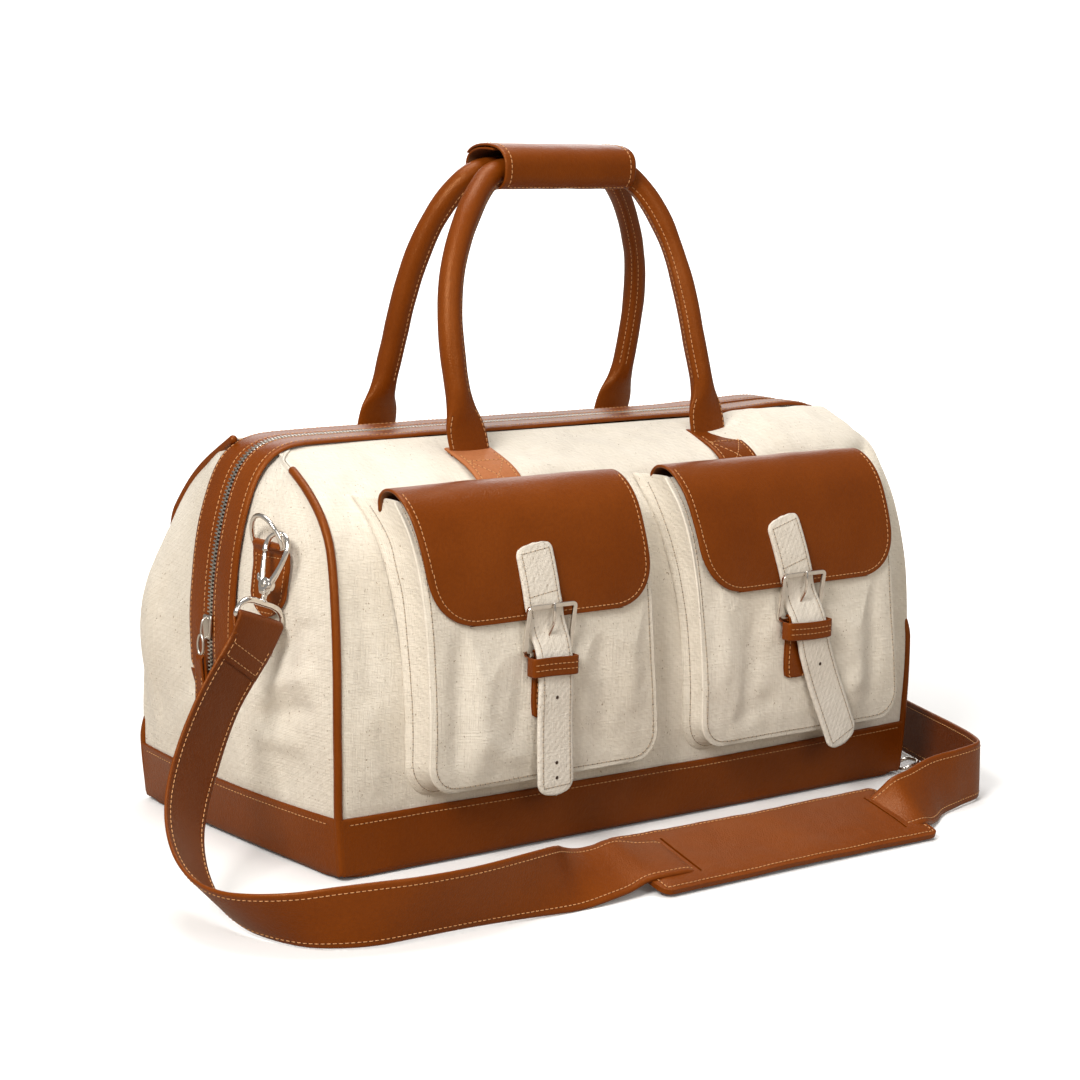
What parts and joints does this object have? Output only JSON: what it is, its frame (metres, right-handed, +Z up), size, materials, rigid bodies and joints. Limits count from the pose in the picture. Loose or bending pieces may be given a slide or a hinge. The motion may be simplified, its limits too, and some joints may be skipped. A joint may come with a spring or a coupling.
{
  "type": "duffel bag",
  "caption": "Soft-sided canvas and leather travel duffel with buckled front pockets, a zip over the top, padded carry handles and a clip-on shoulder strap with a pad.",
  "frame": {"origin": "middle of the base's underside, on the floor", "axes": "+X along the bag to its right-hand end as seen from the pockets, +Y from the pockets to the back panel, +Z up"},
  "size_m": [0.7531, 0.3957, 0.4637],
  "materials": {
    "canvas": "cream cotton canvas, plain weave with small dark flecks, matt",
    "canvas_webbing": "cream cotton canvas folded double and edge stitched, matt",
    "leather_trim": "cognac cowhide, fine grain, satin, edge stitched in tan thread",
    "leather_patch": "lighter tan cowhide, fine grain, satin",
    "nickel": "polished nickel plate",
    "zip_metal": "satin nickel",
    "zip_tape": "woven tape, matt",
    "lining": "plain cotton lining, matt",
    "board": "stiff polypropylene base board, matt"
  },
  "bodies": {
    "bag": {"front_panel": "canvas", "back_panel": "canvas", "left_end_panel": "canvas", "right_end_panel": "canvas", "base_trim_front": "leather_trim", "base_trim_back": "leather_trim", "base_trim_left": "leather_trim", "base_trim_right": "leather_trim", "base_leather": "leather_trim", "base_board": "board", "base_piping": "leather_trim", "lining": "lining", "piping_front_left": "leather_trim", "piping_front_right": "leather_trim", "piping_back_left": "leather_trim", "piping_back_right": "leather_trim", "zip_band_front": "leather_trim", "zip_band_rear": "leather_trim", "zip_tape": "zip_tape", "zip_teeth": "zip_metal", "pocket_left": "canvas", "pocket_right": "canvas", "buckle_chape_left": "leather_trim", "buckle_chape_right": "leather_trim", "buckle_keeper_left": "leather_trim", "buckle_keeper_right": "leather_trim", "handle_patch_front_left": "leather_patch", "handle_patch_front_right": "leather_patch", "handle_patch_back_left": "leather_patch", "handle_patch_back_right": "leather_patch", "dring_chape_left": "leather_patch", "dring_chape_right": "leather_patch", "shoulder_strap": "leather_trim", "strap_keeper_ring": "nickel"},
    "zip_slider": {"zip_slider": "zip_metal", "zip_bail": "zip_metal"},
    "zip_pull": {"zip_pull_ring": "zip_metal", "zip_pull_tab": "leather_trim"},
    "flap_left": {"pocket_flap_left": "leather_trim"},
    "flap_right": {"pocket_flap_right": "leather_trim"},
    "closing_left": {"closing_strap_left": "canvas_webbing"},
    "closing_right": {"closing_strap_right": "canvas_webbing"},
    "frame_left": {"buckle_frame_left": "nickel"},
    "frame_right": {"buckle_frame_right": "nickel"},
    "prong_left": {"buckle_prong_left": "nickel"},
    "prong_right": {"buckle_prong_right": "nickel"},
    "ring_left": {"dring_left": "nickel"},
    "ring_right": {"dring_right": "nickel"},
    "hook_left": {"snap_hook_left": "nickel"},
    "hook_right": {"snap_hook_right": "nickel"},
    "gate_left": {"snap_gate_left": "nickel"},
    "gate_right": {"snap_gate_right": "nickel"},
    "loop_left": {"swivel_loop_left": "nickel"},
    "loop_right": {"swivel_loop_right": "nickel"},
    "front_handle": {"handle_front": "leather_trim"},
    "back_handle": {"handle_back": "leather_trim", "handle_wrap": "leather_trim"},
    "wrap_flap": {"handle_wrap_flap": "leather_trim"},
    "pad": {"shoulder_pad": "leather_trim"}
  },
  "joints": [
    {"name": "zip_slide", "type": "slide", "parent": "bag", "child": "zip_slider", "axis": [0.03, 0, 0.9995], "range_m": [0, 0.045]},
    {"name": "zip_pull_swing", "type": "hinge", "parent": "zip_slider", "child": "zip_pull", "pos_m": [-0.2828, 0, 0.1422], "axis": [0, 1, 0], "range_deg": [0, 45]},
    {"name": "flap_left_open", "type": "hinge", "parent": "bag", "child": "flap_left", "pos_m": [-0.1205, -0.101, 0.2345], "axis": [-1, 0, 0], "range_deg": [0, 75], "stiffness_Nm_per_rad": 0.3, "deforming": ["closing_strap_left", "pocket_flap_left"]},
    {"name": "strap_left_hang", "type": "hinge", "parent": "flap_left", "child": "closing_left", "pos_m": [-0.1205, -0.1501, 0.178], "axis": [-1, 0, 0], "range_deg": [-75, 0], "deforming": ["closing_strap_left"]},
    {"name": "buckle_left_tilt", "type": "hinge", "parent": "bag", "child": "frame_left", "pos_m": [-0.1145, -0.153, 0.14], "axis": [1, 0, 0], "range_deg": [0, 50], "stiffness_Nm_per_rad": 0.02, "deforming": ["closing_strap_left"]},
    {"name": "prong_left_tilt", "type": "hinge", "parent": "frame_left", "child": "prong_left", "pos_m": [-0.1145, -0.153, 0.14], "axis": [1, 0, 0], "range_deg": [0, 45], "stiffness_Nm_per_rad": 0.005, "deforming": ["closing_strap_left"]},
    {"name": "flap_right_open", "type": "hinge", "parent": "bag", "child": "flap_right", "pos_m": [0.1058, -0.101, 0.2345], "axis": [-1, 0, 0], "range_deg": [0, 75], "stiffness_Nm_per_rad": 0.3, "deforming": ["closing_strap_right", "pocket_flap_right"]},
    {"name": "strap_right_hang", "type": "hinge", "parent": "flap_right", "child": "closing_right", "pos_m": [0.1058, -0.1501, 0.178], "axis": [-1, 0, 0], "range_deg": [-75, 0], "deforming": ["closing_strap_right"]},
    {"name": "buckle_right_tilt", "type": "hinge", "parent": "bag", "child": "frame_right", "pos_m": [0.1115, -0.153, 0.14], "axis": [1, 0, 0], "range_deg": [0, 50], "stiffness_Nm_per_rad": 0.02, "deforming": ["closing_strap_right"]},
    {"name": "prong_right_tilt", "type": "hinge", "parent": "frame_right", "child": "prong_right", "pos_m": [0.1115, -0.153, 0.14], "axis": [1, 0, 0], "range_deg": [0, 45], "stiffness_Nm_per_rad": 0.005, "deforming": ["closing_strap_right"]},
    {"name": "d_ring_left_swing", "type": "hinge", "parent": "bag", "child": "ring_left", "pos_m": [-0.2705, -0.0605, 0.2105], "axis": [0, 1, 0], "range_deg": [0, 30], "stiffness_Nm_per_rad": 0.05, "deforming": ["shoulder_strap"]},
    {"name": "hook_left_swing", "type": "hinge", "parent": "ring_left", "child": "hook_left", "pos_m": [-0.2728, -0.0777, 0.2131], "axis": [0, 1, 0], "range_deg": [0, 30], "stiffness_Nm_per_rad": 0.05, "deforming": ["shoulder_strap"]},
    {"name": "hook_left_swivel", "type": "hinge", "parent": "hook_left", "child": "loop_left", "pos_m": [-0.2859, -0.078, 0.1772], "axis": [-0.33, -0.085, -0.9401], "range_deg": [-25, 25], "stiffness_Nm_per_rad": 0.02, "deforming": ["shoulder_strap"]},
    {"name": "gate_left_press", "type": "hinge", "parent": "hook_left", "child": "gate_left", "pos_m": [-0.2839, -0.0744, 0.1843], "axis": [0.9261, 0.1636, -0.3399], "range_deg": [0, 20], "stiffness_Nm_per_rad": 0.05},
    {"name": "d_ring_right_swing", "type": "hinge", "parent": "bag", "child": "ring_right", "pos_m": [0.2705, 0.0605, 0.2105], "axis": [0, -1, 0], "range_deg": [0, 30], "stiffness_Nm_per_rad": 0.05, "deforming": ["shoulder_strap"]},
    {"name": "hook_right_swing", "type": "hinge", "parent": "ring_right", "child": "hook_right", "pos_m": [0.2728, 0.0777, 0.2131], "axis": [0, -1, 0], "range_deg": [0, 30], "stiffness_Nm_per_rad": 0.05, "deforming": ["shoulder_strap"]},
    {"name": "hook_right_swivel", "type": "hinge", "parent": "hook_right", "child": "loop_right", "pos_m": [0.2859, 0.078, 0.1772], "axis": [0.33, 0.085, -0.9401], "range_deg": [-25, 25], "stiffness_Nm_per_rad": 0.02, "deforming": ["shoulder_strap"]},
    {"name": "gate_right_press", "type": "hinge", "parent": "hook_right", "child": "gate_right", "pos_m": [0.2839, 0.0744, 0.1843], "axis": [-0.9261, -0.1636, -0.3399], "range_deg": [0, 20], "stiffness_Nm_per_rad": 0.05},
    {"name": "handle_front_swing", "type": "hinge", "parent": "bag", "child": "front_handle", "pos_m": [0, -0.0545, 0.2625], "axis": [1, 0, 0], "range_deg": [0, 75], "stiffness_Nm_per_rad": 1.5, "deforming": ["handle_wrap", "handle_wrap_flap"]},
    {"name": "handle_back_swing", "type": "hinge", "parent": "bag", "child": "back_handle", "pos_m": [0, 0.0545, 0.2625], "axis": [-1, 0, 0], "range_deg": [0, 100], "stiffness_Nm_per_rad": 1.5, "deforming": ["handle_wrap", "handle_wrap_flap"]},
    {"name": "wrap_flap_open", "type": "hinge", "parent": "back_handle", "child": "wrap_flap", "pos_m": [0, -0.0113, 0.433], "axis": [1, 0, 0], "range_deg": [0, 130], "stiffness_Nm_per_rad": 0.05},
    {"name": "pad_slide", "type": "slide", "parent": "bag", "child": "pad", "axis": [1, 0, 0], "range_m": [-0.03, 0.03], "stiffness_N_per_m": 40, "deforming": ["shoulder_strap"]}
  ],
  "couplings": [
    {"joint": "strap_left_hang", "follows": "flap_left_open", "ratio": -1},
    {"joint": "strap_right_hang", "follows": "flap_right_open", "ratio": -1}
  ]
}
